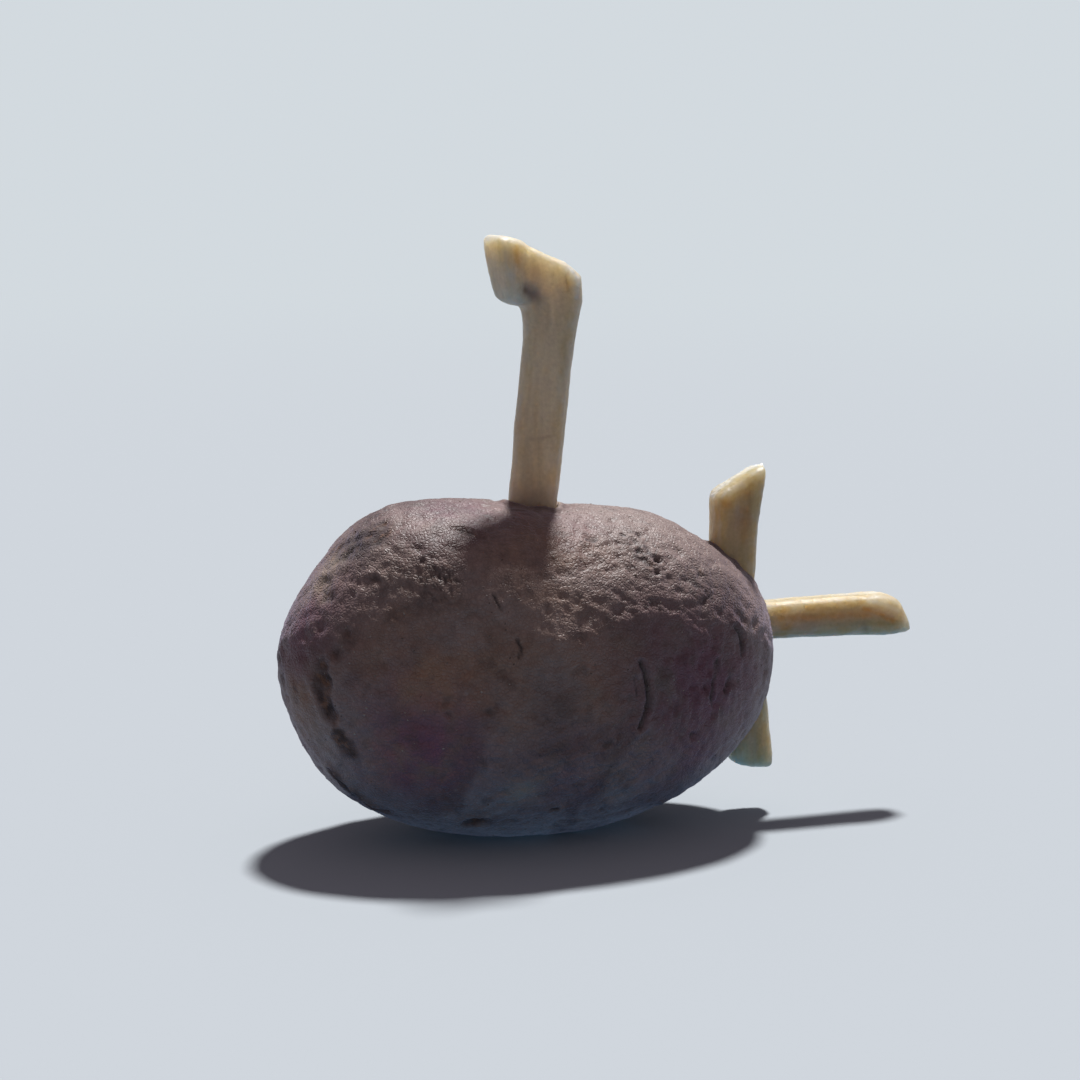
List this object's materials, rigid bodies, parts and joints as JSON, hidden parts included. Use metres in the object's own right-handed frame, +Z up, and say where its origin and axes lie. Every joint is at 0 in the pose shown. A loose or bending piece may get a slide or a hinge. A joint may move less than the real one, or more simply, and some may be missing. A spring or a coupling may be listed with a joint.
{
  "type": "potato with fries pushed into it as a toy submarine",
  "caption": "Whole brown-purple potato dressed as a submarine, with potato fries pushed in as a bent periscope, fins and a tail; rests on a small flat spot.",
  "frame": {"origin": "middle of the flat resting spot under the potato", "axes": "+Z up, +X along the potato towards the tail fry, +Y towards the far side when the bow is on the left"},
  "size_m": [0.1375, 0.0641, 0.1202],
  "materials": {
    "potato_skin": "satin brown potato skin with purple patches, scabs, eyes and fine wrinkles",
    "fry_flesh": "pale yellow half-cooked potato flesh, slightly oily and translucent"
  },
  "bodies": {
    "root": {"potato": "potato_skin", "periscope_fry": "fry_flesh", "upper_fin_fry": "fry_flesh", "tail_fry": "fry_flesh", "lower_fin_fry": "fry_flesh"}
  },
  "joints": []
}
